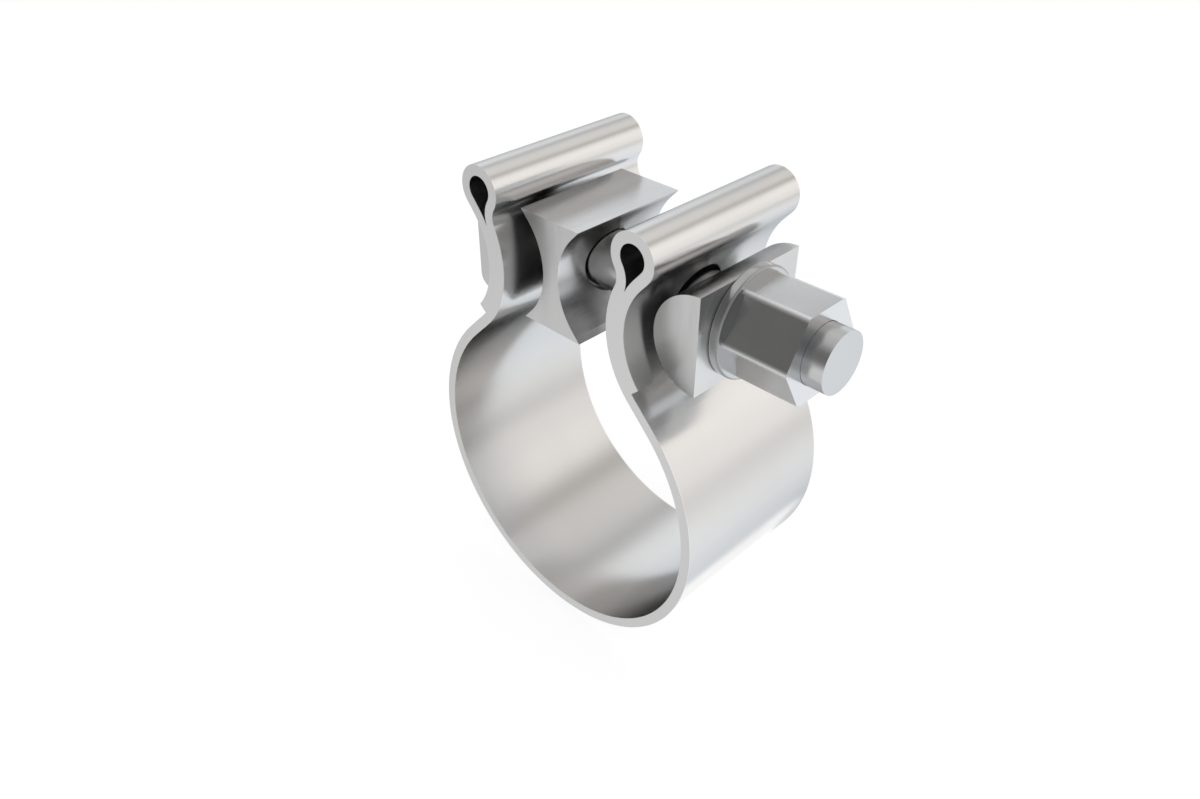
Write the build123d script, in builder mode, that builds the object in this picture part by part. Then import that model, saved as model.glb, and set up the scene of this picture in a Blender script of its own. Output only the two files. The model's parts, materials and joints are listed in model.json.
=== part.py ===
from build123d import *
import os
from math import acos, atan2, cos, degrees, hypot, radians, sin, sqrt, tan

os.makedirs("parts", exist_ok=True)

# Exhaust band clamp with one bolt, open as it is supplied. Millimetres.
# X runs along the bolt towards the nut, Y along the tube, Z up through the gap.
# The origin is the centre of the ring.

# Strip
strip_thickness = 1.8
strip_width = 33.3

# Ring
seat_radius = 28.5

# Lugs: a bend round the bar, a neck, a teardrop loop and a tail laid down the back
lug_gap = 23.0
lug_bend_radius = 16.4
lug_root_straight = 5.6
neck_radius = 2.9
loop_hole_radius = 2.3
loop_straight = 1.9
loop_direction = 132.3
teardrop_tip_angle = 6.0
tail_angle = 41.5

# Bolt, with a low domed head and a short square neck under it
bolt_radius = 5.0
bolt_drop = 0.4
bolt_beyond_nut = 3.6
head_radius = 7.2
head_thickness = 3.6
head_rounding = 2.4
square_neck_width = 10.6
square_neck_corner = 2.5
square_neck_length = 5.0

# Half-round bars in the hollows of the lugs
bar_radius = 8.4
bar_length = 23.1
bar_hole_play = 0.4
nut_bar_gap = 1.3
head_bar_gap = 0.4
head_bar_corner = 2.2

# Nut with a round collar
nut_across_flats = 14.7
nut_height = 13.2
nut_edge_rounding = 0.6
nut_thread_play = 0.05
collar_radius = 9.15
collar_thickness = 1.7
collar_rounding = 0.3

# Spacer with a hollow on each side, hung on the bolt in the gap
spacer_waist = 3.4
spacer_height = 19.8
spacer_length = 23.1
hollow_half_angle = 43.0
spacer_hole_play = 0.4
spacer_from_lug = 1.0

# Holes for the bolt in the lugs, and how far the loose bars and spacer hang down on it
lug_hole_play = 0.6
loose_sag = 0.25


def around(centre, radius, angle):
    """Point at a distance and an angle in degrees from a centre."""
    return (
        centre[0] + radius * cos(radians(angle)),
        centre[1] + radius * sin(radians(angle)),
    )


def direction(start, end):
    """Angle in degrees of the line from one point to another."""
    return degrees(atan2(end[1] - start[1], end[0] - start[0]))


# Section of the strip, right half, as (X, Z) points.
# The ring and the lug's bend curve opposite ways and share a straight between them.
ring_centre = (0, 0)
ring_outer_radius = seat_radius + strip_thickness
lug_middle_radius = lug_bend_radius - strip_thickness
lug_back_radius = lug_bend_radius - 2 * strip_thickness
lug_centre_x = lug_gap / 2 + lug_bend_radius
lug_centre_distance = hypot(seat_radius + lug_bend_radius, lug_root_straight)
lug_centre = (lug_centre_x, sqrt(lug_centre_distance**2 - lug_centre_x**2))
root_angle = direction(ring_centre, lug_centre) - degrees(
    atan2(lug_root_straight, seat_radius + lug_bend_radius)
)
root_on_lug = root_angle + 180

# The loop stands over the bend, and its return straight crosses to the back of the lug.
loop_outer_radius = loop_hole_radius + strip_thickness
loop_distance = hypot(loop_hole_radius + lug_middle_radius, loop_straight)
loop_centre = around(lug_centre, loop_distance, loop_direction)
return_angle = loop_direction - 180 + degrees(
    atan2(loop_straight, loop_hole_radius + lug_middle_radius)
)
return_on_lug = return_angle + 180

# The neck's circle touches the bend and the loop from inside the gap.
neck_to_lug = lug_bend_radius + neck_radius
neck_to_loop = loop_outer_radius + neck_radius
neck_direction = loop_direction + degrees(
    acos(
        (neck_to_lug**2 + loop_distance**2 - neck_to_loop**2)
        / (2 * neck_to_lug * loop_distance)
    )
)
neck_centre = around(lug_centre, neck_to_lug, neck_direction)
neck_start = neck_direction - 180
neck_end = direction(neck_centre, loop_centre)

# The tail stops square across the strip, part of the way round the bend.
tail_on_lug = 180 + tail_angle

# The inner face of the strip, which the teardrop hole follows down to its narrow tip
neck_back_radius = neck_radius + strip_thickness
tip_on_neck = neck_start + teardrop_tip_angle
tip_front = around(neck_centre, neck_back_radius, tip_on_neck)
tip_on_lug = direction(lug_centre, tip_front)

# Heights and stations of the pieces on the bolt
bolt_height = lug_centre[1] - bolt_drop
hang_height = bolt_height - loose_sag
lug_back_x = lug_centre[0] - lug_back_radius
nut_bar_flat_x = lug_back_x + nut_bar_gap + bar_radius
head_bar_flat_x = -(lug_back_x + head_bar_gap + bar_radius)
nut_face_x = nut_bar_flat_x + nut_height
bolt_end_x = nut_face_x + bolt_beyond_nut
# The spacer's hollows are arcs with straight flanks up to its sharp corners.
hollow_radius = bar_radius + 2 * strip_thickness
hollow_centre_x = spacer_waist / 2 + hollow_radius
hollow_edge = around((hollow_centre_x, 0), hollow_radius, 180 - hollow_half_angle)
spacer_half_width = hollow_edge[0] + (spacer_height / 2 - hollow_edge[1]) * tan(
    radians(hollow_half_angle)
)
spacer_x = spacer_half_width + spacer_from_lug - (neck_centre[0] + neck_radius)

# Square socket in the head's bar, as loose as the round holes
socket_width = square_neck_width + 2 * bar_hole_play


def across_bolt(x, z=bolt_height):
    """Plane square to the bolt, facing the nut's end."""
    return Plane(origin=(x, 0, z), x_dir=(0, 1, 0), z_dir=(1, 0, 0))


def side_section(x, z):
    """Plane of the clamp's side view, with its own origin at a point of it."""
    return Plane(origin=(x, 0, z), x_dir=(1, 0, 0), z_dir=(0, -1, 0))


# Band: ring, lugs, loops and tails of one folded strip
with BuildPart() as band:
    with BuildSketch(side_section(0, 0)):
        with BuildLine():
            CenterArc(ring_centre, seat_radius, -90, 90 + root_angle)
            Line(
                around(ring_centre, seat_radius, root_angle),
                around(lug_centre, lug_bend_radius, root_on_lug),
            )
            CenterArc(
                lug_centre, lug_bend_radius, root_on_lug, neck_direction - root_on_lug
            )
            CenterArc(neck_centre, neck_radius, neck_start, neck_end - neck_start)
            CenterArc(
                loop_centre,
                loop_outer_radius,
                neck_end + 180,
                return_angle - neck_end - 180,
            )
            Line(
                around(loop_centre, loop_outer_radius, return_angle),
                around(lug_centre, lug_back_radius, return_on_lug),
            )
            CenterArc(
                lug_centre, lug_back_radius, return_on_lug, tail_on_lug - return_on_lug
            )
            Line(
                around(lug_centre, lug_back_radius, tail_on_lug),
                around(lug_centre, lug_middle_radius, tail_on_lug),
            )
            CenterArc(
                lug_centre, lug_middle_radius, tail_on_lug, root_on_lug - tail_on_lug
            )
            Line(
                around(lug_centre, lug_middle_radius, root_on_lug),
                around(ring_centre, ring_outer_radius, root_angle),
            )
            CenterArc(ring_centre, ring_outer_radius, root_angle, -90 - root_angle)
            Line((0, -ring_outer_radius), (0, -seat_radius))
        make_face()
        # Teardrop hole, from the loop down to the tip where the two layers meet
        with BuildLine():
            CenterArc(
                neck_centre, neck_back_radius, tip_on_neck, neck_end - tip_on_neck
            )
            CenterArc(
                loop_centre,
                loop_hole_radius,
                neck_end + 180,
                return_angle - neck_end - 180,
            )
            Line(
                around(loop_centre, loop_hole_radius, return_angle),
                around(lug_centre, lug_middle_radius, return_on_lug),
            )
            CenterArc(
                lug_centre, lug_middle_radius, return_on_lug, tip_on_lug - return_on_lug
            )
            Line(around(lug_centre, lug_middle_radius, tip_on_lug), tip_front)
        make_face(mode=Mode.SUBTRACT)
        mirror(about=Plane.YZ)
    extrude(amount=strip_width / 2, both=True)
    with BuildSketch(across_bolt(0)):
        Circle(bolt_radius + lug_hole_play)
    extrude(amount=lug_centre_x, both=True, mode=Mode.SUBTRACT)
band.part.label = "band_strap"
export_step(band.part, "parts/band_strap.step")


# Spacer: bow-tie section whose hollows take a lug bent round its bar
with BuildPart() as spacer:
    with BuildSketch(side_section(spacer_x, hang_height)):
        with BuildLine():
            Line((0, -spacer_height / 2), (0, spacer_height / 2))
            Line((0, spacer_height / 2), (spacer_half_width, spacer_height / 2))
            Line((spacer_half_width, spacer_height / 2), hollow_edge)
            CenterArc(
                (hollow_centre_x, 0),
                hollow_radius,
                180 - hollow_half_angle,
                2 * hollow_half_angle,
            )
            Line(
                (hollow_edge[0], -hollow_edge[1]),
                (spacer_half_width, -spacer_height / 2),
            )
            Line((spacer_half_width, -spacer_height / 2), (0, -spacer_height / 2))
        make_face()
        mirror(about=Plane.YZ)
    extrude(amount=spacer_length / 2, both=True)
    with BuildSketch(across_bolt(spacer_x, hang_height)):
        Circle(bolt_radius + spacer_hole_play)
    extrude(amount=spacer_half_width, both=True, mode=Mode.SUBTRACT)
spacer.part.label = "spacer_block"
export_step(spacer.part, "parts/spacer_block.step")


# Bars: half-rounds, round side in the lug's hollow, flat side under the nut or the head
with BuildPart() as nut_bar:
    with BuildSketch(side_section(nut_bar_flat_x, hang_height)):
        with BuildLine():
            CenterArc((0, 0), bar_radius, 90, 180)
            Line((0, -bar_radius), (0, bar_radius))
        make_face()
    extrude(amount=bar_length / 2, both=True)
    with BuildSketch(across_bolt(nut_bar_flat_x, hang_height)):
        Circle(bolt_radius + bar_hole_play)
    extrude(amount=-bar_radius, mode=Mode.SUBTRACT)
nut_bar.part.label = "nut_side_bar"
export_step(nut_bar.part, "parts/nut_side_bar.step")

with BuildPart() as head_bar:
    with BuildSketch(side_section(head_bar_flat_x, hang_height)):
        with BuildLine():
            CenterArc((0, 0), bar_radius, -90, 180)
            Line((0, bar_radius), (0, -bar_radius))
        make_face()
    extrude(amount=bar_length / 2, both=True)
    back_edges = head_bar.edges().filter_by(Axis.Y).group_by(Axis.X)[0]
    fillet(back_edges, head_bar_corner)
    with BuildSketch(across_bolt(head_bar_flat_x, hang_height)):
        Circle(bolt_radius + bar_hole_play)
    extrude(amount=bar_radius, mode=Mode.SUBTRACT)
    # Square socket that keeps the bolt from turning
    with BuildSketch(across_bolt(head_bar_flat_x, hang_height)):
        RectangleRounded(socket_width, socket_width, square_neck_corner)
    extrude(amount=square_neck_length + bar_hole_play, mode=Mode.SUBTRACT)
head_bar.part.label = "head_side_bar"
export_step(head_bar.part, "parts/head_side_bar.step")


# Bolt: low round head, short square neck and plain shank
with BuildPart() as bolt:
    with BuildSketch(across_bolt(head_bar_flat_x)):
        Circle(head_radius)
    extrude(amount=-head_thickness)
    fillet(bolt.edges().sort_by(Axis.X)[0], head_rounding)
    with BuildSketch(across_bolt(head_bar_flat_x)):
        RectangleRounded(square_neck_width, square_neck_width, square_neck_corner)
    extrude(amount=square_neck_length)
    with BuildSketch(across_bolt(head_bar_flat_x)):
        Circle(bolt_radius)
    extrude(amount=bolt_end_x - head_bar_flat_x)
bolt.part.label = "clamp_bolt"
export_step(bolt.part, "parts/clamp_bolt.step")


# Nut: round collar on the bar's flat, tall hexagon with softened edges
with BuildPart() as nut:
    with BuildSketch(across_bolt(nut_bar_flat_x)):
        Circle(collar_radius)
    extrude(amount=collar_thickness)
    fillet(nut.edges().filter_by(GeomType.CIRCLE), collar_rounding)
    with BuildSketch(across_bolt(nut_bar_flat_x + collar_thickness)) as hexagon:
        RegularPolygon(nut_across_flats / 2, 6, major_radius=False)
        fillet(hexagon.vertices(), nut_edge_rounding)
    extrude(amount=nut_height - collar_thickness)
    with BuildSketch(across_bolt(nut_bar_flat_x)):
        Circle(bolt_radius + nut_thread_play)
    extrude(amount=nut_height, mode=Mode.SUBTRACT)
nut.part.label = "flange_nut"
export_step(nut.part, "parts/flange_nut.step")
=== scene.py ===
"""Steel finishes and a pale studio for an exhaust band clamp.

The strap, spacer block, two bars, bolt and nut keep their measured shapes. Each gets the surface
its making leaves: rolled and sheared strip, drawn and sawn bar, turned bolt, drawn and faced nut.
Lengths are metres, in the clamp's own frame: the ring's centre is the origin, X runs along the bolt
towards the nut, Y along the pipe and Z up.
"""

import json
import math

import bmesh
import bpy
from mathutils import Matrix, Vector


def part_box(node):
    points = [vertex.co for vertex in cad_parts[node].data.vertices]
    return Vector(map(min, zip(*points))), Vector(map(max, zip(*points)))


bl_info = {
    "name": "Exhaust band clamp",
    "version": (1, 0, 0),
    "blender": (4, 5, 0),
    "location": "3D View > Sidebar > Clamp",
    "description": "Steel finishes for a band clamp's pieces, and the studio that shows them",
    "category": "Object",
}

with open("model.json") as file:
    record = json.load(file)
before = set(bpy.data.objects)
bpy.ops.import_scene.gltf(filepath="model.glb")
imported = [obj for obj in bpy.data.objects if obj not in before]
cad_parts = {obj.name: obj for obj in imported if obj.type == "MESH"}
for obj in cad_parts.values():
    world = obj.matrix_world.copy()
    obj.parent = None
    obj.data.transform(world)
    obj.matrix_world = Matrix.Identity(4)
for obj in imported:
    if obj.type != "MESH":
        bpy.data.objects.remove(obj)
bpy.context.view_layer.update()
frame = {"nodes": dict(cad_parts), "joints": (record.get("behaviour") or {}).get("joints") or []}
MM = 0.001

strap_low, strap_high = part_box("band_strap")
block_low, block_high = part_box("spacer_block")
_, bolt_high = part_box("clamp_bolt")
nut_low, nut_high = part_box("flange_nut")
BOLT_HEIGHT = next(joint["pos_m"][2] for joint in frame["joints"] if joint["name"] == "nut_spin")

# A point this near to a flat end or to a round wall counts as lying on it
END_REACH = 0.02 * MM
WALL_REACH = 0.05 * MM
# The ring's inside runs a little way into the bends up to the lugs
BORE_REACH = 0.2 * MM


class StripFinish(bpy.types.PropertyGroup):
    """The rolled strip that the strap is bent from."""

    colour: bpy.props.FloatVectorProperty(
        name="Rolled colour",
        description="Colour of the strip's rolled faces",
        subtype="COLOR",
        min=0,
        max=1,
        default=(0.670, 0.666, 0.660),
    )
    # Painted shade: the ring's inside is coloured darker than its outside, for the shade that falls
    # inside the ring, not for a duller finish.
    bore_shade_colour: bpy.props.FloatVectorProperty(
        name="Bore colour",
        description="Colour of the ring's inside, which stays a little duller than the outside",
        subtype="COLOR",
        min=0,
        max=1,
        default=(0.610, 0.606, 0.600),
    )
    bore_radius: bpy.props.FloatProperty(
        name="Bore radius",
        description="Radius of the ring's inside",
        unit="LENGTH",
        default=28.5 * MM,
    )
    sheared_colour: bpy.props.FloatVectorProperty(
        name="Sheared colour",
        description="Colour of the dull edges where the strip was sheared",
        subtype="COLOR",
        min=0,
        max=1,
        default=(0.700, 0.700, 0.698),
    )
    roughness: bpy.props.FloatProperty(
        name="Rolled roughness",
        description="How far the rolled faces blur what they mirror",
        subtype="FACTOR",
        min=0,
        max=1,
        default=0.22,
    )
    smear: bpy.props.FloatProperty(
        name="Smear",
        description="How far the rolled lines draw reflections out across the strip",
        subtype="FACTOR",
        min=0,
        max=1,
        default=0.5,
    )
    sheared_roughness: bpy.props.FloatProperty(
        name="Sheared roughness",
        description="How far the sheared edges blur what they mirror",
        subtype="FACTOR",
        min=0,
        max=1,
        default=0.33,
    )
    hole_radius: bpy.props.FloatProperty(
        name="Hole radius",
        description="Radius of the lugs' punched holes, through which the bolt runs",
        unit="LENGTH",
        precision=5,
        default=5.7 * MM,
    )
    # Painted shade: the holes' walls are coloured near black for the shade that falls inside the holes,
    # not for tearing.
    hole_shade_colour: bpy.props.FloatVectorProperty(
        name="Punched colour",
        description="Colour of the torn, dark walls of the punched holes",
        subtype="COLOR",
        min=0,
        max=1,
        default=(0.080, 0.080, 0.082),
    )
    punched_roughness: bpy.props.FloatProperty(
        name="Punched roughness",
        description="How far the walls of the punched holes blur what they mirror",
        subtype="FACTOR",
        min=0,
        max=1,
        default=0.6,
    )
    half_width: bpy.props.FloatProperty(
        name="Half width",
        description="From the middle of the strip to a sheared edge",
        unit="LENGTH",
        default=strap_high.y,
    )
    line_spacing: bpy.props.FloatProperty(
        name="Line spacing",
        description="Distance between the fine lines that the rolls leave along the strip",
        unit="LENGTH",
        precision=5,
        default=0.6 * MM,
    )
    line_length: bpy.props.FloatProperty(
        name="Line length",
        description="How long one rolled line runs",
        unit="LENGTH",
        default=9 * MM,
    )
    line_depth: bpy.props.FloatProperty(
        name="Line depth",
        description="Depth of the rolled lines",
        unit="LENGTH",
        precision=6,
        default=0.0003 * MM,
    )
    # Partly real wear and partly a painted highlight: a brighter line on the rolled face beside each
    # sheared edge.
    rubbed_and_highlight_width: bpy.props.FloatProperty(
        name="Rubbed width",
        description="Width of the bright line that handling rubs beside a sheared edge",
        unit="LENGTH",
        precision=5,
        default=0.35 * MM,
    )
    pit_size: bpy.props.FloatProperty(
        name="Pit size",
        description="Size of the pits that shearing leaves in the edges",
        unit="LENGTH",
        precision=5,
        default=0.25 * MM,
    )
    pit_depth: bpy.props.FloatProperty(
        name="Pit depth",
        description="Depth of the pits in the sheared edges",
        unit="LENGTH",
        precision=6,
        default=0.0001 * MM,
    )


class BarFinish(bpy.types.PropertyGroup):
    """The drawn bar that the spacer block and the two half-round bars are sawn from."""

    colour: bpy.props.FloatVectorProperty(
        name="Drawn colour",
        description="Colour of the drawn faces along the bar",
        subtype="COLOR",
        min=0,
        max=1,
        default=(0.640, 0.642, 0.645),
    )
    sawn_colour: bpy.props.FloatVectorProperty(
        name="Sawn colour",
        description="Colour of the sawn ends",
        subtype="COLOR",
        min=0,
        max=1,
        default=(0.640, 0.640, 0.638),
    )
    # Painted shade: the middle of the spacer block's hollows is coloured dark for the shade that falls
    # in them, not for dullness from handling.
    hollow_shade_colour: bpy.props.FloatVectorProperty(
        name="Hollow colour",
        description="Colour of the middle of the spacer block's hollows, which handling leaves dull",
        subtype="COLOR",
        min=0,
        max=1,
        default=(0.400, 0.393, 0.386),
    )
    hollow_radius: bpy.props.FloatProperty(
        name="Hollow radius",
        description="Radius of the spacer block's hollows",
        unit="LENGTH",
        default=12 * MM,
    )
    # How far the painted shade in the hollows stays at its darkest.
    hollow_middle: bpy.props.FloatProperty(
        name="Hollow middle",
        description="How far along the block from its middle the hollows are fully dull",
        unit="LENGTH",
        precision=5,
        default=0.4 * block_high.y,
    )
    half_waist: bpy.props.FloatProperty(
        name="Half waist",
        description="Half the spacer block's thickness where its hollows come closest",
        unit="LENGTH",
        precision=5,
        default=1.7 * MM,
    )
    roughness: bpy.props.FloatProperty(
        name="Drawn roughness",
        description="How far the drawn faces blur what they mirror",
        subtype="FACTOR",
        min=0,
        max=1,
        default=0.235,
    )
    smear: bpy.props.FloatProperty(
        name="Smear",
        description="How far the drawn lines draw reflections out",
        subtype="FACTOR",
        min=0,
        max=1,
        default=0.5,
    )
    sawn_roughness: bpy.props.FloatProperty(
        name="Sawn roughness",
        description="How far the sawn ends blur what they mirror",
        subtype="FACTOR",
        min=0,
        max=1,
        default=0.34,
    )
    half_length: bpy.props.FloatProperty(
        name="Half length",
        description="From the middle of a bar to a sawn end",
        unit="LENGTH",
        default=block_high.y,
    )
    line_spacing: bpy.props.FloatProperty(
        name="Line spacing",
        description="Distance between the lines that the die draws along the bar",
        unit="LENGTH",
        precision=5,
        default=0.4 * MM,
    )
    line_length: bpy.props.FloatProperty(
        name="Line length",
        description="How long one drawn line runs",
        unit="LENGTH",
        default=14 * MM,
    )
    line_depth: bpy.props.FloatProperty(
        name="Line depth",
        description="Depth of the drawn lines",
        unit="LENGTH",
        precision=6,
        default=0.0003 * MM,
    )
    # Partly real wear and partly a painted highlight: a brighter line beside each sawn end.
    rubbed_and_highlight_width: bpy.props.FloatProperty(
        name="Rubbed width",
        description="Width of the bright line that handling rubs beside a sawn end",
        unit="LENGTH",
        precision=5,
        default=0.4 * MM,
    )
    saw_pitch: bpy.props.FloatProperty(
        name="Saw pitch",
        description="Distance between the marks that the saw leaves across an end",
        unit="LENGTH",
        precision=5,
        default=0.45 * MM,
    )
    saw_stroke: bpy.props.FloatProperty(
        name="Saw stroke",
        description="How long one of the saw's marks runs",
        unit="LENGTH",
        default=12 * MM,
    )
    saw_depth: bpy.props.FloatProperty(
        name="Saw mark depth",
        description="Depth of the saw's marks",
        unit="LENGTH",
        precision=6,
        default=0.0008 * MM,
    )


class FastenerFinish(bpy.types.PropertyGroup):
    """The bolt and the collar nut."""

    bolt_colour: bpy.props.FloatVectorProperty(
        name="Bolt colour",
        description="Colour of the bolt",
        subtype="COLOR",
        min=0,
        max=1,
        default=(0.600, 0.603, 0.606),
    )
    nut_colour: bpy.props.FloatVectorProperty(
        name="Nut colour",
        description="Colour of the nut, a little darker than the bolt",
        subtype="COLOR",
        min=0,
        max=1,
        default=(0.515, 0.518, 0.521),
    )
    nut_roughness: bpy.props.FloatProperty(
        name="Nut roughness",
        description="How far the nut blurs what it mirrors",
        subtype="FACTOR",
        min=0,
        max=1,
        default=0.18,
    )
    bolt_roughness: bpy.props.FloatProperty(
        name="Bolt roughness",
        description="How far the bolt blurs what it mirrors",
        subtype="FACTOR",
        min=0,
        max=1,
        default=0.23,
    )
    axis_height: bpy.props.FloatProperty(
        name="Bolt height",
        description="Height of the bolt's axis over the ring's centre",
        unit="LENGTH",
        default=BOLT_HEIGHT,
    )
    ring_spacing: bpy.props.FloatProperty(
        name="Tool mark spacing",
        description="Distance between the rings that the cutter leaves on a turned face",
        unit="LENGTH",
        precision=5,
        default=0.22 * MM,
    )
    bolt_ring_depth: bpy.props.FloatProperty(
        name="Bolt mark depth",
        description="Depth of the rings on the bolt",
        unit="LENGTH",
        precision=6,
        default=0.0005 * MM,
    )
    nut_ring_depth: bpy.props.FloatProperty(
        name="Nut mark depth",
        description="Depth of the rings on the nut",
        unit="LENGTH",
        precision=6,
        default=0.0004 * MM,
    )
    # Painted highlight: the nut's corners are coloured brighter, by the corner gain, to stand in for the
    # highlights along their rounding; they are also made rougher.
    corner_radius: bpy.props.FloatProperty(
        name="Corner radius",
        description="From the bolt's axis to where the nut's corners are rubbed bright",
        unit="LENGTH",
        precision=5,
        default=8.12 * MM,
    )
    corner_blend: bpy.props.FloatProperty(
        name="Corner blend",
        description="How far outwards the flats take to turn into rubbed corners",
        unit="LENGTH",
        precision=5,
        default=0.25 * MM,
    )
    corner_highlight_gain: bpy.props.FloatProperty(
        name="Corner gain",
        description="How many times brighter than the flats the nut's rubbed corners are",
        min=0,
        default=1.6,
    )
    corner_roughness: bpy.props.FloatProperty(
        name="Corner roughness",
        description="How far the nut's rubbed corners blur what they mirror",
        subtype="FACTOR",
        min=0,
        max=1,
        default=0.5,
    )
    faced_colour: bpy.props.FloatVectorProperty(
        name="Faced colour",
        description="Colour of the freshly cut end faces of the bolt and the nut",
        subtype="COLOR",
        min=0,
        max=1,
        default=(0.610, 0.620, 0.630),
    )
    collar_radius: bpy.props.FloatProperty(
        name="Collar radius",
        description="Radius of the collar at the nut's base",
        unit="LENGTH",
        precision=5,
        default=nut_high.y,
    )
    collar_thickness: bpy.props.FloatProperty(
        name="Collar thickness",
        description="How far the collar stands off the bar under it",
        unit="LENGTH",
        precision=5,
        default=1.7 * MM,
    )
    # Painted shade: the rounding round the collar's front is coloured darker so that it shows no
    # highlight; it is also made rougher.
    collar_edge_width: bpy.props.FloatProperty(
        name="Collar edge width",
        description="Width of the dull rounding round the front of the collar",
        unit="LENGTH",
        precision=5,
        default=0.35 * MM,
    )
    collar_edge_shade_colour: bpy.props.FloatVectorProperty(
        name="Collar edge colour",
        description="Colour of the dull rounding round the front of the collar",
        subtype="COLOR",
        min=0,
        max=1,
        default=(0.420, 0.420, 0.420),
    )
    collar_edge_roughness: bpy.props.FloatProperty(
        name="Collar edge roughness",
        description="How far the collar's rounding blurs what it mirrors",
        subtype="FACTOR",
        min=0,
        max=1,
        default=0.5,
    )


class StudioLook(bpy.types.PropertyGroup):
    """The camera, the floor, the lamp and the room's even light."""

    camera_azimuth: bpy.props.FloatProperty(
        name="Camera azimuth",
        description="Turn of the camera about Z, from the front (-Y) towards the nut (+X)",
        subtype="ANGLE",
        default=math.radians(44.744),
    )
    camera_elevation: bpy.props.FloatProperty(
        name="Camera elevation",
        description="Height of the camera as an angle over the horizon",
        subtype="ANGLE",
        default=math.radians(35.338),
    )
    camera_roll: bpy.props.FloatProperty(
        name="Camera roll",
        description="Turn of the camera about its own line of sight",
        subtype="ANGLE",
        default=math.radians(0.2604),
    )
    camera_distance: bpy.props.FloatProperty(
        name="Camera distance",
        description="From the camera to the point that it aims at",
        unit="LENGTH",
        default=182.27 * MM,
    )
    camera_aim: bpy.props.FloatVectorProperty(
        name="Camera aim",
        description="The point at the middle of the picture",
        subtype="TRANSLATION",
        unit="LENGTH",
        default=(-6.105 * MM, 0, 5.044 * MM),
    )
    lens: bpy.props.FloatProperty(
        name="Lens",
        description="Focal length on a sensor 36 mm wide",
        subtype="DISTANCE_CAMERA",
        default=29.524,
    )
    floor_colour: bpy.props.FloatVectorProperty(
        name="Floor colour",
        description="Colour of the floor where lamps light it",
        subtype="COLOR",
        min=0,
        max=1,
        default=(0.90, 0.90, 0.90),
    )
    floor_glow: bpy.props.FloatProperty(
        name="Floor glow",
        description="Share of plain white in the floor, which leaves the rest to the clamp's shadow",
        subtype="FACTOR",
        min=0,
        max=1,
        default=0.75,
    )
    lamp_azimuth: bpy.props.FloatProperty(
        name="Lamp azimuth",
        description="Turn of the lamp about Z, from the front (-Y) towards the nut (+X)",
        subtype="ANGLE",
        default=math.radians(200),
    )
    lamp_elevation: bpy.props.FloatProperty(
        name="Lamp elevation",
        description="Height of the lamp as an angle over the horizon",
        subtype="ANGLE",
        default=math.radians(65),
    )
    lamp_distance: bpy.props.FloatProperty(
        name="Lamp distance",
        description="From the ring's centre to the lamp",
        unit="LENGTH",
        default=1.0,
    )
    lamp_size: bpy.props.FloatProperty(
        name="Lamp size",
        description="Side of the square lamp",
        unit="LENGTH",
        default=0.4,
    )
    lamp_radiance: bpy.props.FloatProperty(
        name="Lamp radiance",
        description="Brightness of the lamp's face, which stays the same when its size changes",
        min=0,
        default=0.3,
    )
    room_light: bpy.props.FloatProperty(
        name="Room light",
        description="Strength of the white room's even light on the floor",
        min=0,
        default=0.8,
    )


# What the tent shows behind the clamp, as (degrees about Y from +X towards +Z, brightness, coolness)
BEHIND = (
    (10, 1.16, -0.06),
    (28, 1.22, -0.09),
    (46, 1.10, -0.08),
    (61, 0.66, -0.06),
    (74, 0.90, -0.06),
    (98, 0.93, -0.05),
    (110, 0.84, -0.03),
    (121, 0.70, 0.00),
    (136, 1.14, 0.02),
    (150, 1.26, 0.05),
    (168, 1.28, 0.10),
    (188, 1.25, 0.10),
    (208, 1.08, 0.08),
    (228, 1.12, 0.08),
    (246, 1.30, 0.12),
    (262, 1.38, 0.10),
    (276, 1.36, 0.12),
    (288, 1.27, 0.11),
    (300, 1.26, 0.09),
    (314, 1.22, 0.04),
    (330, 1.15, 0.00),
    (348, 0.95, -0.04),
    (357, 1.08, -0.05),
)
# The same beside the clamp, to the right and the left of the camera
BESIDE = (
    (5, 0.60, 0.00),
    (35, 0.35, 0.00),
    (70, 0.35, 0.00),
    (95, 0.50, 0.00),
    (115, 0.70, -0.01),
    (130, 0.86, 0.00),
    (160, 0.85, 0.00),
    (190, 0.90, 0.00),
    (216, 1.00, 0.00),
    (240, 1.10, 0.00),
    (270, 1.15, 0.03),
    (300, 1.20, 0.05),
    (335, 1.10, 0.02),
)
# The same on the camera's side, where the room is dark over the white floor
IN_FRONT = (
    (5, 0.40, 0.00),
    (45, 0.25, 0.00),
    (90, 0.20, 0.00),
    (145, 0.22, -0.01),
    (165, 0.30, -0.01),
    (195, 0.60, 0.00),
    (215, 0.92, 0.00),
    (238, 0.88, 0.00),
    (270, 0.60, 0.00),
    (320, 0.60, 0.00),
)
TENT_STRENGTH = 2
TENT_RADIUS = 1.5
# Where the next tones take over from the ones in front, as shares of the tent's radius along Y
TENT_SIDES = ((-0.75, -0.15, BESIDE), (-0.05, 0.38, BEHIND))

# The outline of the bright strip of floor as seen from above, in mm
BRIGHT_OUTLINE = ((14, -14), (34, -14), (34, 38), (30, 34), (25, 27), (14, 21))
BRIGHT_LIFT = 0.2 * MM
BRIGHT_STRENGTH = 2.4
# Its strength at a slant, and the slants between which it fades to that: 0 is straight on, 1 edge on
SLANTED_STRENGTH = 1.15
SLANT_START = 0.38
SLANT_END = 0.46

# A piece of the studio that is hidden from these rays shows only in the steel
MIRRORED_ONLY = ("camera", "diffuse", "shadow")

FLOOR_RADIUS = 0.36
FLOOR_WHITE = 1.12
SENSOR_WIDTH = 36
NEAREST_SEEN = 5 * MM

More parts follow.
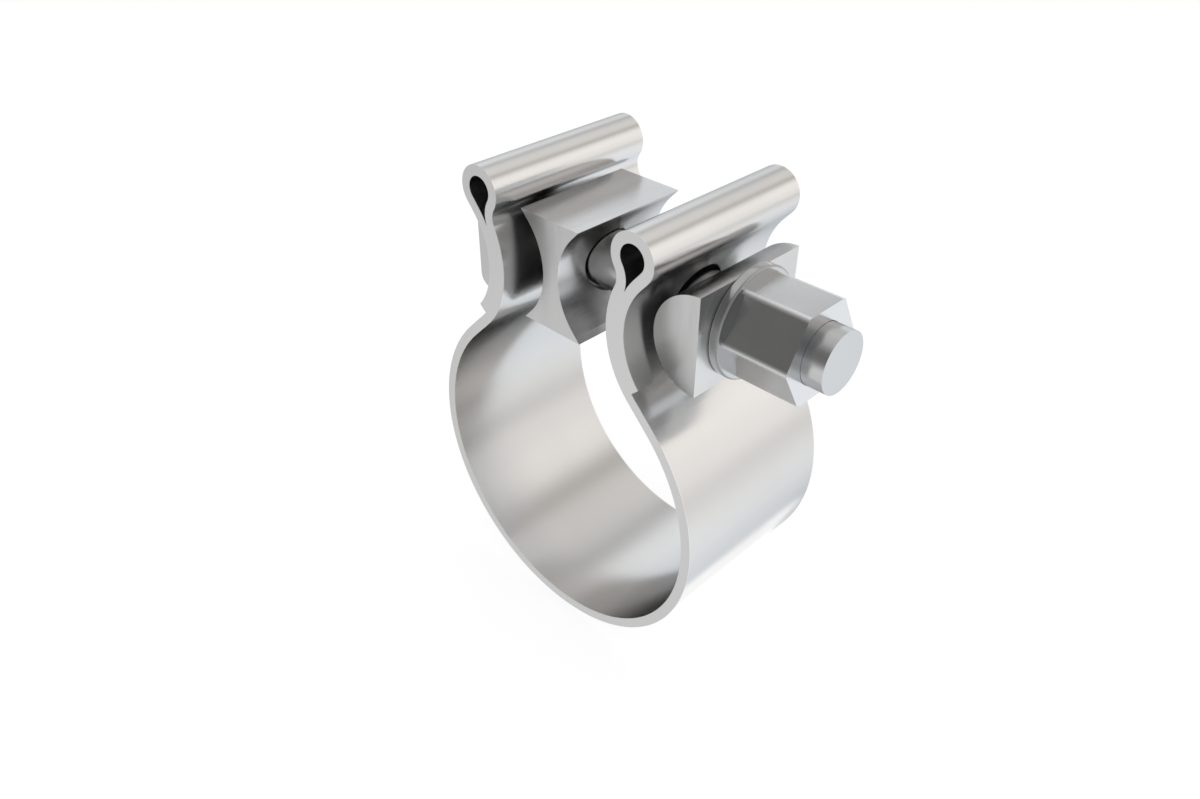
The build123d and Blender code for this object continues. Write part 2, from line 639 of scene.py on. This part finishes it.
# Sizes along X, Y and Z of the soft blotches that handling leaves
STRIP_CLOUDS = (19 * MM, 14 * MM, 19 * MM)
BAR_CLOUDS = (9 * MM, 12 * MM, 9 * MM)
BOLT_CLOUDS = (5 * MM, 5 * MM, 5 * MM)
NUT_CLOUDS = (6 * MM, 6 * MM, 6 * MM)
CLOUD_COLOUR = (0.56, 0.56, 0.57)
MARK_COLOUR = (0.5, 0.5, 0.5)

# How much brighter the rubbed edges of the strip and the bars are, and how fully they show: partly wear,
# partly a painted highlight
RUBBED_AND_HIGHLIGHT_GAIN = 1.12
RUBBED_AND_HIGHLIGHT_SHARE = 0.6

# How far along the bar the saw's marks change
SAW_CHANGE = 6 * MM
# The share of the painted shade in the hollows that is left at the sawn ends
HOLLOW_END_SHARE = 0.2
# Over what width the collar edge's painted shade and roughness give way to the bright steel
EDGE_BLEND = 0.1 * MM


def aimed(azimuth, elevation):
    """The direction from the clamp at an azimuth from the front (-Y) towards +X, and an elevation."""
    level = math.cos(elevation)
    return Vector((math.sin(azimuth) * level, -math.cos(azimuth) * level, math.sin(elevation)))


class Nodes:
    """Short ways to add and join the nodes of a material or a world."""

    def __init__(self, owner, output):
        """Starts the owner's nodes afresh, with an output of that kind."""
        owner.use_nodes = True
        self.tree = owner.node_tree
        self.tree.nodes.clear()
        self.surface = self.add(output).inputs["Surface"]

    def add(self, kind, **settings):
        """Adds a node."""
        node = self.tree.nodes.new(kind)
        for name, value in settings.items():
            setattr(node, name, value)
        return node

    def join(self, value, socket):
        """Joins another node's output to a socket, or sets the socket to a plain value."""
        if isinstance(value, bpy.types.NodeSocket):
            self.tree.links.new(value, socket)
        else:
            socket.default_value = value

    def math(self, operation, *values):
        """One sum on one, two or three values."""
        node = self.add("ShaderNodeMath", operation=operation)
        for value, socket in zip(values, node.inputs):
            self.join(value, socket)
        return node.outputs["Value"]

    def ramp(self, value, start, end, low=0.0, high=1.0):
        """A smooth rise from low to high as the value goes from start to end."""
        node = self.add("ShaderNodeMapRange", interpolation_type="SMOOTHSTEP")
        self.join(value, node.inputs["Value"])
        node.inputs["From Min"].default_value = start
        node.inputs["From Max"].default_value = end
        self.join(low, node.inputs["To Min"])
        self.join(high, node.inputs["To Max"])
        return node.outputs["Result"]

    def mixed(self, factor, first, second, most=1.0):
        """A colour between two, each a socket or three numbers, with that much of the second at most."""
        node = self.add("ShaderNodeMix", data_type="RGBA")
        if most < 1:
            factor = self.math("MULTIPLY", factor, most)
        self.join(factor, node.inputs["Factor"])
        for value, socket in ((first, node.inputs["A"]), (second, node.inputs["B"])):
            if isinstance(value, bpy.types.NodeSocket):
                self.join(value, socket)
            else:
                socket.default_value = (*value, 1)
        return node.outputs["Result"]

    def blended(self, factor, first, second):
        """A shader between two."""
        node = self.add("ShaderNodeMixShader")
        for value, socket in zip((factor, first, second), node.inputs):
            self.join(value, socket)
        return node.outputs["Shader"]

    def glowing(self, colour, strength):
        """A surface that shines with that colour and strength."""
        node = self.add("ShaderNodeEmission")
        self.join(colour, node.inputs["Color"])
        self.join(strength, node.inputs["Strength"])
        return node.outputs["Emission"]


class Steel(Nodes):
    """A metal material, with short ways to add the marks that its making leaves."""

    def __init__(self, name, grazing=0.5):
        """The grazing share dims what the steel mirrors at a low angle, which darkens its folds."""
        self.material = bpy.data.materials.new(name)
        super().__init__(self.material, "ShaderNodeOutputMaterial")
        self.shader = self.add("ShaderNodeBsdfPrincipled")
        self.shader.inputs["Metallic"].default_value = 1
        self.shader.inputs["Specular Tint"].default_value = (grazing, grazing, grazing, 1)
        self.join(self.shader.outputs["BSDF"], self.surface)
        self.place = self.add("ShaderNodeTexCoord").outputs["Object"]
        parts = self.add("ShaderNodeSeparateXYZ")
        self.join(self.place, parts.inputs["Vector"])
        self.x = parts.outputs["X"]
        self.z = parts.outputs["Z"]
        self.across = self.math("ABSOLUTE", parts.outputs["Y"])

    def point(self, x=0.0, y=0.0, z=0.0):
        """A point from its coordinates."""
        node = self.add("ShaderNodeCombineXYZ")
        for value, socket in zip((x, y, z), node.inputs):
            self.join(value, socket)
        return node.outputs["Vector"]

    def above(self, value, limit):
        """1 where the value is greater than the limit, and 0 elsewhere."""
        return self.math("GREATER_THAN", value, limit)

    def below(self, value, limit):
        """1 where the value is less than the limit, and 0 elsewhere."""
        return self.math("LESS_THAN", value, limit)

    def both(self, first, second):
        """The share that is left where two shares hold together."""
        return self.math("MULTIPLY", first, second)

    def noise(self, spacings, detail=2.0, place=None):
        """Noise from 0 to 1 with its own spacing along each of X, Y and Z."""
        stretch = self.add("ShaderNodeMapping", vector_type="POINT")
        self.join(self.place if place is None else place, stretch.inputs["Vector"])
        stretch.inputs["Scale"].default_value = [1 / spacing for spacing in spacings]
        texture = self.add("ShaderNodeTexNoise")
        texture.inputs["Scale"].default_value = 1
        texture.inputs["Detail"].default_value = detail
        self.join(stretch.outputs["Vector"], texture.inputs["Vector"])
        return texture.outputs["Fac"]

    def distance(self, centre, kept, place=None):
        """The distance from a centre, counted only along the axes that are kept as 1."""
        centred = self.add("ShaderNodeVectorMath", operation="SUBTRACT")
        self.join(self.place if place is None else place, centred.inputs[0])
        centred.inputs[1].default_value = centre
        flat = self.add("ShaderNodeVectorMath", operation="MULTIPLY")
        self.join(centred.outputs["Vector"], flat.inputs[0])
        flat.inputs[1].default_value = kept
        length = self.add("ShaderNodeVectorMath", operation="LENGTH")
        self.join(flat.outputs["Vector"], length.inputs[0])
        return length.outputs["Value"]

    def from_bolt(self, height):
        """The distance from the axis of the bolt, which runs at that height."""
        return self.distance((0, 0, height), (0, 1, 1))

    def from_pipe(self):
        """The distance from the pipe's axis."""
        return self.distance((0, 0, 0), (1, 0, 1))

    def times(self, colour, gain):
        """The colour with every channel multiplied by the gain."""
        if not isinstance(colour, bpy.types.NodeSocket):
            return [min(1, channel * gain) for channel in colour]
        node = self.add("ShaderNodeVectorMath", operation="SCALE")
        self.join(colour, node.inputs["Vector"])
        node.inputs["Scale"].default_value = gain
        return node.outputs["Vector"]

    def shaded(self, factor, colour, spread):
        """The colour, darker by the spread where the factor is 0 and lighter by it where it is 1."""
        return self.mixed(factor, self.times(colour, 1 - spread), self.times(colour, 1 + spread))

    def blotched(self, spacings, colour):
        """The colour, a little darker and lighter in soft blotches."""
        return self.shaded(self.ramp(self.noise(spacings), 0.25, 0.75), colour, spread=0.03)

    def wandering(self, value, middle, spread, start=0.2, end=0.8):
        """A roughness that wanders about its middle by the spread, as noise goes from start to end."""
        return self.ramp(value, start, end, middle - spread, middle + spread)

    def raised(self, height, depth, under=None):
        """A bump of that depth. It lies on another bump where one is given."""
        node = self.add("ShaderNodeBump")
        node.inputs["Strength"].default_value = 1
        node.inputs["Distance"].default_value = depth
        self.join(height, node.inputs["Height"])
        if under is not None:
            self.join(under, node.inputs["Normal"])
        return node.outputs["Normal"]

    def smeared(self, amount, ends):
        """Smears what the steel mirrors along Y, and upwards on its ends."""
        self.shader.inputs["Anisotropic"].default_value = amount
        way = self.add("ShaderNodeMix", data_type="VECTOR")
        self.join(ends, way.inputs["Factor"])
        way.inputs["A"].default_value = (0, 1, 0)
        way.inputs["B"].default_value = (0, 0, 1)
        turned = self.add("ShaderNodeVectorTransform", vector_type="VECTOR")
        turned.convert_from = "OBJECT"
        turned.convert_to = "WORLD"
        self.join(way.outputs["Result"], turned.inputs["Vector"])
        self.join(turned.outputs["Vector"], self.shader.inputs["Tangent"])

    def finish(self, colour, roughness, normal):
        """Sends the worked-out colour, roughness and bump to the shader."""
        self.join(colour, self.shader.inputs["Base Color"])
        self.join(roughness, self.shader.inputs["Roughness"])
        self.join(normal, self.shader.inputs["Normal"])
        return self.material


def dress(node, material):
    """Gives a measured piece its material in every slot."""
    mesh = frame["nodes"][node].data
    if not mesh.materials:
        mesh.materials.append(material)
    for slot in frame["nodes"][node].material_slots:
        slot.material = material


def rolled_strip(look):
    """Bright rolled faces with fine lines along the strip, rubbed wear and a painted highlight by their
    edges, dull sheared edges, and painted shade inside the ring and on the holes' walls.
    """
    steel = Steel("rolled_strip")
    lines = steel.noise((look.line_length, look.line_spacing, look.line_length), detail=1)
    clouds = steel.noise(STRIP_CLOUDS)
    pits = steel.noise((look.pit_size, look.pit_size, look.pit_size), detail=3)
    sheared = steel.above(steel.across, look.half_width - END_REACH)
    rubbed_and_highlight = steel.ramp(steel.across, look.half_width - look.rubbed_and_highlight_width, look.half_width)
    bore = steel.below(steel.from_pipe(), look.bore_radius + BORE_REACH)
    punched = steel.below(steel.from_bolt(BOLT_HEIGHT), look.hole_radius + WALL_REACH)

    # Painted shade: the ring's inside is coloured darker than the rest of the strip
    colour = steel.mixed(bore, look.colour, look.bore_shade_colour)
    colour = steel.shaded(lines, colour, spread=0.015)
    colour = steel.mixed(clouds, colour, CLOUD_COLOUR, most=0.10)
    # Rubbed wear and a painted highlight beside the sheared edges
    colour = steel.mixed(rubbed_and_highlight, colour, steel.times(look.colour, RUBBED_AND_HIGHLIGHT_GAIN), most=RUBBED_AND_HIGHLIGHT_SHARE)
    colour = steel.mixed(sheared, colour, steel.shaded(pits, look.sheared_colour, spread=0.02))
    # Painted shade: near black on the walls of the holes
    colour = steel.mixed(punched, colour, look.hole_shade_colour)

    smooth = steel.wandering(clouds, look.roughness, spread=0.02, start=0.3, end=0.7)
    smooth = steel.math("MULTIPLY_ADD", lines, 0.02, smooth)
    coarse = steel.wandering(pits, look.sheared_roughness, spread=0.02)
    roughness = steel.ramp(sheared, 0, 1, smooth, coarse)
    roughness = steel.ramp(punched, 0, 1, roughness, look.punched_roughness)

    normal = steel.raised(lines, look.line_depth)
    normal = steel.raised(steel.both(pits, sheared), look.pit_depth, under=normal)
    steel.smeared(look.smear, sheared)
    return steel.finish(colour, roughness, normal)


def in_hollow(steel, look):
    """1 in the middle of the block's two hollows, less towards their ends, and 0 elsewhere."""
    middle = (block_low + block_high) / 2
    aside = steel.math("ABSOLUTE", steel.math("SUBTRACT", steel.x, middle.x))
    folded = steel.point(aside, 0, steel.z)
    axis = (look.half_waist + look.hollow_radius, 0, middle.z)
    reach = steel.distance(axis, (1, 0, 1), place=folded)
    hollow = steel.below(reach, look.hollow_radius + WALL_REACH)
    block = steel.below(aside, block_high.x - middle.x + WALL_REACH)
    fading = steel.ramp(steel.across, look.hollow_middle, look.half_length, 1, HOLLOW_END_SHARE)
    return steel.both(steel.both(hollow, block), fading)


def drawn_bar(look):
    """Satin faces with fine lines along the bar, sawn ends with rubbed wear and a painted highlight by
    them, and painted shade in the spacer block's hollows.
    """
    steel = Steel("drawn_bar")
    lines = steel.noise((look.line_spacing, look.line_length, look.line_spacing), detail=1)
    strokes = steel.noise((look.saw_pitch, SAW_CHANGE, look.saw_stroke), detail=3)
    sawn = steel.above(steel.across, look.half_length - END_REACH)
    rubbed_and_highlight = steel.ramp(steel.across, look.half_length - look.rubbed_and_highlight_width, look.half_length)

    # Painted shade in the middle of the spacer block's hollows
    colour = steel.mixed(in_hollow(steel, look), look.colour, look.hollow_shade_colour)
    colour = steel.blotched(BAR_CLOUDS, colour)
    # Rubbed wear and a painted highlight beside the sawn ends
    colour = steel.mixed(rubbed_and_highlight, colour, steel.times(look.colour, RUBBED_AND_HIGHLIGHT_GAIN), most=RUBBED_AND_HIGHLIGHT_SHARE)
    colour = steel.mixed(sawn, colour, steel.shaded(strokes, look.sawn_colour, spread=0.03))

    drawn = steel.wandering(lines, look.roughness, spread=0.02)
    cut = steel.wandering(strokes, look.sawn_roughness, spread=0.05)
    roughness = steel.ramp(sawn, 0, 1, drawn, cut)

    normal = steel.raised(lines, look.line_depth)
    normal = steel.raised(steel.both(strokes, sawn), look.saw_depth, under=normal)
    steel.smeared(look.smear, sawn)
    return steel.finish(colour, roughness, normal)


def turned_bolt(look):
    """A bolt with fine rings round its shank and on its faced end."""
    steel = Steel("turned_bolt", grazing=0.6)
    radius = steel.from_bolt(look.axis_height)
    spacings = (look.ring_spacing, look.ring_spacing, 1)
    marks = steel.noise(spacings, detail=3, place=steel.point(steel.x, radius))
    faced = steel.above(steel.x, bolt_high.x - END_REACH)

    colour = steel.blotched(BOLT_CLOUDS, look.bolt_colour)
    colour = steel.mixed(marks, colour, MARK_COLOUR, most=0.12)
    colour = steel.mixed(faced, colour, look.faced_colour)

    roughness = steel.wandering(marks, look.bolt_roughness, spread=0.03)
    normal = steel.raised(marks, look.bolt_ring_depth)
    return steel.finish(colour, roughness, normal)


def drawn_nut(look):
    """A nut with fine rings on its faces, painted highlights with more roughness on its corners, and
    painted shade with more roughness on its collar's edge.
    """
    steel = Steel("drawn_nut", grazing=1.0)
    radius = steel.from_bolt(look.axis_height)
    marks = steel.noise((look.ring_spacing, 1, 1), detail=3, place=steel.point(radius))
    faced = steel.above(steel.x, nut_high.x - END_REACH)
    collar_front = nut_low.x + look.collar_thickness
    hexagon = steel.above(steel.x, collar_front + WALL_REACH)
    corners = steel.ramp(radius, look.corner_radius, look.corner_radius + look.corner_blend)
    rubbed_and_highlight = steel.both(corners, hexagon)

    start = look.collar_edge_width
    end = look.collar_edge_width - EDGE_BLEND
    outside = steel.ramp(radius, look.collar_radius - start, look.collar_radius - end)
    front = steel.ramp(steel.x, collar_front - start, collar_front - end)
    collar = steel.math("SUBTRACT", 1, hexagon)
    edge = steel.both(steel.both(outside, front), collar)

    colour = steel.blotched(NUT_CLOUDS, look.nut_colour)
    colour = steel.mixed(marks, colour, MARK_COLOUR, most=0.10)
    # Painted highlight on the nut's corners
    colour = steel.mixed(rubbed_and_highlight, colour, steel.times(look.nut_colour, look.corner_highlight_gain))
    colour = steel.mixed(faced, colour, look.faced_colour)
    # Painted shade on the rounding round the collar's front
    colour = steel.mixed(edge, colour, look.collar_edge_shade_colour)

    roughness = steel.wandering(marks, look.nut_roughness, spread=0.03)
    roughness = steel.ramp(rubbed_and_highlight, 0, 1, roughness, look.corner_roughness)
    roughness = steel.ramp(edge, 0, 1, roughness, look.collar_edge_roughness)
    normal = steel.raised(marks, look.nut_ring_depth)
    return steel.finish(colour, roughness, normal)


class CLAMP_OT_strap(bpy.types.Operator):
    """Finish the strap as rolled strip with sheared edges"""

    bl_idname = "clamp.strap"
    bl_label = "Finish the Strap"

    def execute(self, context):
        dress("band_strap", rolled_strip(context.scene.clamp_strip))
        return {"FINISHED"}


class CLAMP_OT_bars(bpy.types.Operator):
    """Finish the spacer block and the two half-round bars as drawn and sawn bar"""

    bl_idname = "clamp.bars"
    bl_label = "Finish the Bars"

    def execute(self, context):
        material = drawn_bar(context.scene.clamp_bars)
        for node in ("spacer_block", "head_side_bar", "nut_side_bar"):
            dress(node, material)
        return {"FINISHED"}


class CLAMP_OT_fasteners(bpy.types.Operator):
    """Finish the bolt as turned and the nut as drawn hexagon bar"""

    bl_idname = "clamp.fasteners"
    bl_label = "Finish the Bolt and Nut"

    def execute(self, context):
        look = context.scene.clamp_fasteners
        dress("clamp_bolt", turned_bolt(look))
        dress("flange_nut", drawn_nut(look))
        return {"FINISHED"}


def white_where_seen(nodes, plain, white):
    """A plain shader that gives way to a white one for the camera, mirrors and glass."""
    path = nodes.add("ShaderNodeLightPath")
    seen = nodes.math("MAXIMUM", path.outputs["Is Camera Ray"], path.outputs["Is Glossy Ray"])
    seen = nodes.math("MAXIMUM", seen, path.outputs["Is Transmission Ray"])
    return nodes.blended(seen, plain, white)


def white_room(look):
    """A room that is white to the camera and lights the floor evenly."""
    world = bpy.data.worlds.new("white_room")
    nodes = Nodes(world, "ShaderNodeOutputWorld")
    even = nodes.add("ShaderNodeBackground")
    even.inputs["Strength"].default_value = look.room_light
    white = nodes.add("ShaderNodeBackground")
    white.inputs["Strength"].default_value = 1
    for node in (even, white):
        node.inputs["Color"].default_value = (1, 1, 1, 1)
    shader = white_where_seen(nodes, even.outputs["Background"], white.outputs["Background"])
    nodes.join(shader, nodes.surface)
    return world


def add_staging(context, name, shape, material, hidden_from):
    """Adds a piece of the studio, which the kinds of ray that are named don't meet."""
    mesh = bpy.data.meshes.new(name)
    shape.to_mesh(mesh)
    shape.free()
    mesh.materials.append(material)
    piece = bpy.data.objects.new(name, mesh)
    for kind in hidden_from:
        setattr(piece, f"visible_{kind}", False)
    context.scene.collection.objects.link(piece)


def pale_floor(look):
    """A white floor that keeps a light shadow of the clamp."""
    material = bpy.data.materials.new("pale_floor")
    nodes = Nodes(material, "ShaderNodeOutputMaterial")
    lit = nodes.add("ShaderNodeBsdfDiffuse")
    lit.inputs["Color"].default_value = (*look.floor_colour, 1)
    glow = nodes.glowing((1, 1, 1, 1), FLOOR_WHITE)
    partly = nodes.blended(look.floor_glow, lit.outputs["BSDF"], glow)
    nodes.join(white_where_seen(nodes, lit.outputs["BSDF"], partly), nodes.surface)
    return material


def lay_floor(context, look):
    """The floor under the ring."""
    shape = bmesh.new()
    bmesh.ops.create_circle(shape, cap_ends=True, segments=96, radius=FLOOR_RADIUS)
    bmesh.ops.translate(shape, verts=shape.verts, vec=(0, 0, strap_low.z))
    add_staging(context, "floor", shape, pale_floor(look), hidden_from=("glossy",))


def hang_lamp(context, look):
    """A soft square lamp over the clamp, which only lights the floor and draws the clamp's shadow."""
    lamp = bpy.data.lights.new("lamp", "AREA")
    lamp.size = look.lamp_size
    lamp.energy = look.lamp_radiance * math.pi * look.lamp_size**2
    piece = bpy.data.objects.new("lamp", lamp)
    away = aimed(look.lamp_azimuth, look.lamp_elevation)
    piece.rotation_euler = away.to_track_quat("Z", "Y").to_euler()
    piece.location = away * look.lamp_distance
    piece.visible_camera = False
    piece.visible_glossy = False
    context.scene.collection.objects.link(piece)


def tent_tones(nodes, turn, tones):
    """A colour for each turn about Y, from the tones listed."""
    ramp = nodes.add("ShaderNodeValToRGB")
    ramp.color_ramp.interpolation = "CARDINAL"
    # A new ramp has a stop at each end: the first takes the first tone, and the last is taken out
    stops = ramp.color_ramp.elements
    for degrees, brightness, coolness in tones:
        stop = stops[0] if degrees == tones[0][0] else stops.new(degrees / 360)
        stop.position = degrees / 360
        shifts = (-coolness / 2, 0, coolness / 2)
        stop.color = [(brightness + shift) / TENT_STRENGTH for shift in shifts] + [1]
    stops.remove(stops[-1])
    nodes.join(turn, ramp.inputs["Fac"])
    return ramp.outputs["Color"]


def tent_cloth():
    """Pale and dark strips along the pipe's direction, with other tones in front and beside."""
    material = bpy.data.materials.new("tent")
    nodes = Nodes(material, "ShaderNodeOutputMaterial")
    place = nodes.add("ShaderNodeTexCoord")
    parts = nodes.add("ShaderNodeSeparateXYZ")
    nodes.join(place.outputs["Object"], parts.inputs["Vector"])
    angle = nodes.math("ARCTAN2", parts.outputs["Z"], parts.outputs["X"])
    turn = nodes.math("FLOORED_MODULO", nodes.math("DIVIDE", angle, math.tau), 1)
    tones = tent_tones(nodes, turn, IN_FRONT)
    for start, end, further in TENT_SIDES:
        side = nodes.ramp(parts.outputs["Y"], start * TENT_RADIUS, end * TENT_RADIUS)
        tones = nodes.mixed(side, tones, tent_tones(nodes, turn, further))
    nodes.join(nodes.glowing(tones, TENT_STRENGTH), nodes.surface)
    return material


def hang_tent(context):
    """A round tent that only the steel mirrors."""
    shape = bmesh.new()
    bmesh.ops.create_uvsphere(shape, u_segments=48, v_segments=24, radius=TENT_RADIUS)
    add_staging(context, "tent", shape, tent_cloth(), hidden_from=MIRRORED_ONLY)


def bright_floor():
    """A light that shines straight up, and is no brighter than the tent at a slant."""
    material = bpy.data.materials.new("bright_strip")
    nodes = Nodes(material, "ShaderNodeOutputMaterial")
    slant = nodes.add("ShaderNodeLayerWeight")
    slant.inputs["Blend"].default_value = 0.5
    strength = nodes.ramp(
        slant.outputs["Facing"], SLANT_START, SLANT_END, BRIGHT_STRENGTH, SLANTED_STRENGTH
    )
    nodes.join(nodes.glowing((1, 1, 1, 1), strength), nodes.surface)
    return material


def lay_bright_strip(context):
    """The brightest part of the floor, beside the ring, which only the steel mirrors."""
    height = strap_low.z + BRIGHT_LIFT
    shape = bmesh.new()
    shape.faces.new([shape.verts.new((x * MM, y * MM, height)) for x, y in BRIGHT_OUTLINE])
    add_staging(context, "bright_strip", shape, bright_floor(), hidden_from=MIRRORED_ONLY)


def set_camera(context, look):
    """The camera, at the photograph's angle."""
    back = aimed(look.camera_azimuth, look.camera_elevation)
    right = Vector((math.cos(look.camera_azimuth), math.sin(look.camera_azimuth), 0))
    turned = Matrix((right, back.cross(right), back)).transposed().to_4x4()
    data = bpy.data.cameras.new("camera")
    data.lens = look.lens
    data.sensor_width = SENSOR_WIDTH
    data.sensor_fit = "HORIZONTAL"
    data.clip_start = NEAREST_SEEN
    camera = bpy.data.objects.new("camera", data)
    camera.matrix_world = (
        Matrix.Translation(Vector(look.camera_aim) + back * look.camera_distance)
        @ turned
        @ Matrix.Rotation(look.camera_roll, 4, "Z")
    )
    context.scene.collection.objects.link(camera)
    context.scene.camera = camera


class CLAMP_OT_studio(bpy.types.Operator):
    """Lay the floor and its bright strip, hang the lamp and the tent, and set the camera"""

    bl_idname = "clamp.studio"
    bl_label = "Set Up the Studio"

    def execute(self, context):
        look = context.scene.clamp_studio
        context.scene.view_settings.view_transform = "Standard"
        context.scene.world = white_room(look)
        lay_floor(context, look)
        hang_lamp(context, look)
        hang_tent(context)
        lay_bright_strip(context)
        set_camera(context, look)
        return {"FINISHED"}


class CLAMP_PT_sidebar(bpy.types.Panel):
    """The clamp's finishes and its studio."""

    bl_idname = "CLAMP_PT_sidebar"
    bl_label = "Exhaust Band Clamp"
    bl_space_type = "VIEW_3D"
    bl_region_type = "UI"
    bl_category = "Clamp"

    def draw(self, context):
        for name, operator in STEPS:
            box = self.layout.box()
            look = getattr(context.scene, name)
            for key in look.__annotations__:
                box.prop(look, key)
            box.operator(operator.bl_idname)


STEPS = (
    ("clamp_strip", CLAMP_OT_strap),
    ("clamp_bars", CLAMP_OT_bars),
    ("clamp_fasteners", CLAMP_OT_fasteners),
    ("clamp_studio", CLAMP_OT_studio),
)
LOOKS = (StripFinish, BarFinish, FastenerFinish, StudioLook)
CLASSES = (*LOOKS, *(operator for _, operator in STEPS), CLAMP_PT_sidebar)


def register():
    """Adds the clamp's classes and its looks to Blender."""
    for cls in CLASSES:
        bpy.utils.register_class(cls)
    for (name, _), look in zip(STEPS, LOOKS):
        setattr(bpy.types.Scene, name, bpy.props.PointerProperty(type=look))


def unregister():
    """Takes the clamp's classes and its looks out of Blender again."""
    for name, _ in STEPS:
        delattr(bpy.types.Scene, name)
    for cls in reversed(CLASSES):
        bpy.utils.unregister_class(cls)


def main():
    """Finishes every piece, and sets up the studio."""
    register()
    bpy.ops.clamp.strap()
    bpy.ops.clamp.bars()
    bpy.ops.clamp.fasteners()
    bpy.ops.clamp.studio()


if __name__ == "__main__":
    main()
